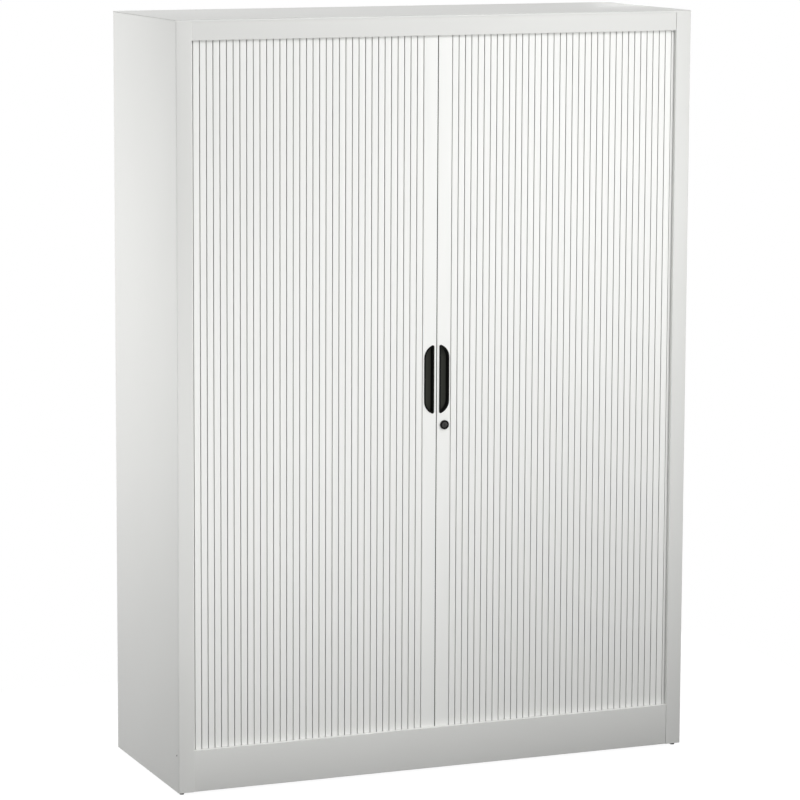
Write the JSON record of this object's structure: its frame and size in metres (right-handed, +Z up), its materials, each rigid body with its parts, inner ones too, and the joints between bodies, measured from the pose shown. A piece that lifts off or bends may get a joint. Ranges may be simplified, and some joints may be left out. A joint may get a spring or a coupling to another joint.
{
  "type": "tambour door cabinet",
  "caption": "Tall steel office cabinet closed by slatted tambour curtains that slide apart into the sides, with recessed handles, a lock, shelves and levelling feet.",
  "frame": {"origin": "on the floor, under the middle of the cabinet: the centre of its box at the feet's undersides", "axes": "+Z up, -Y out of the front where the doors are, +X to the right as seen from the front"},
  "size_m": [1.2, 0.42, 1.66],
  "materials": {
    "body_paint": "light grey powder coat, satin with a fine texture",
    "slat_plastic": "light grey extruded plastic, satin",
    "black_plastic": "black moulded plastic, satin",
    "track_plastic": "light grey extruded plastic",
    "zinc_steel": "zinc plated steel",
    "lock_metal": "dark lock cylinder"
  },
  "bodies": {
    "cabinet": {"side_panel_left": "body_paint", "side_panel_right": "body_paint", "top_panel": "body_paint", "plinth_front": "body_paint", "back_panel": "body_paint", "base_panel": "body_paint", "inner_top_panel": "body_paint", "base_rail_left": "zinc_steel", "base_rail_right": "zinc_steel", "lower_track_left": "track_plastic", "lower_track_right": "track_plastic", "upper_track_left": "track_plastic", "upper_track_right": "track_plastic", "curtain_left_1": "slat_plastic", "curtain_left_2": "slat_plastic", "curtain_left_3": "slat_plastic", "curtain_left_4": "slat_plastic", "curtain_left_5": "slat_plastic", "curtain_left_6": "slat_plastic", "curtain_right_1": "slat_plastic", "curtain_right_2": "slat_plastic", "curtain_right_3": "slat_plastic", "curtain_right_4": "slat_plastic", "curtain_right_5": "slat_plastic", "curtain_right_6": "slat_plastic", "liner_left": "body_paint", "liner_right": "body_paint", "rear_liner": "body_paint", "floor_panel": "body_paint", "shelf_1": "body_paint", "shelf_2": "body_paint", "shelf_3": "body_paint", "shelf_clip_1_front_left": "zinc_steel", "shelf_clip_1_front_right": "zinc_steel", "shelf_clip_1_rear_left": "zinc_steel", "shelf_clip_1_rear_right": "zinc_steel", "shelf_clip_2_front_left": "zinc_steel", "shelf_clip_2_front_right": "zinc_steel", "shelf_clip_2_rear_left": "zinc_steel", "shelf_clip_2_rear_right": "zinc_steel", "shelf_clip_3_front_left": "zinc_steel", "shelf_clip_3_front_right": "zinc_steel", "shelf_clip_3_rear_left": "zinc_steel", "shelf_clip_3_rear_right": "zinc_steel"},
    "door_left": {"meeting_slat_left": "slat_plastic", "handle_cup_left": "black_plastic", "lower_glide_left": "track_plastic", "upper_glide_left": "track_plastic", "lock_catch": "zinc_steel"},
    "door_right": {"meeting_slat_right": "slat_plastic", "handle_cup_right": "black_plastic", "lower_glide_right": "track_plastic", "upper_glide_right": "track_plastic", "lock_housing": "black_plastic"},
    "lock": {"lock_plug": "lock_metal", "lock_cam": "zinc_steel"},
    "front_left_foot": {"foot_front_left": "black_plastic"},
    "front_right_foot": {"foot_front_right": "black_plastic"},
    "rear_left_foot": {"foot_rear_left": "black_plastic"},
    "rear_right_foot": {"foot_rear_right": "black_plastic"}
  },
  "joints": [
    {"name": "door_left_slide", "type": "slide", "parent": "cabinet", "child": "door_left", "axis": [-1, 0, 0], "range_m": [0, 0.5165], "deforming": ["curtain_left_1", "curtain_left_2", "curtain_left_3", "curtain_left_4", "curtain_left_5"]},
    {"name": "door_right_slide", "type": "slide", "parent": "cabinet", "child": "door_right", "axis": [1, 0, 0], "range_m": [0, 0.5165], "deforming": ["curtain_right_1", "curtain_right_2", "curtain_right_3", "curtain_right_4", "curtain_right_5"]},
    {"name": "lock_turn", "type": "hinge", "parent": "door_right", "child": "lock", "pos_m": [0.0182, -0.1925, 0.769], "axis": [0, 1, 0], "range_deg": [0, 90]},
    {"name": "front_left_foot_height", "type": "slide", "parent": "cabinet", "child": "front_left_foot", "axis": [0, 0, 1], "range_m": [-0.015, 0]},
    {"name": "front_right_foot_height", "type": "slide", "parent": "cabinet", "child": "front_right_foot", "axis": [0, 0, 1], "range_m": [-0.015, 0]},
    {"name": "rear_left_foot_height", "type": "slide", "parent": "cabinet", "child": "rear_left_foot", "axis": [0, 0, 1], "range_m": [-0.015, 0]},
    {"name": "rear_right_foot_height", "type": "slide", "parent": "cabinet", "child": "rear_right_foot", "axis": [0, 0, 1], "range_m": [-0.015, 0]}
  ]
}
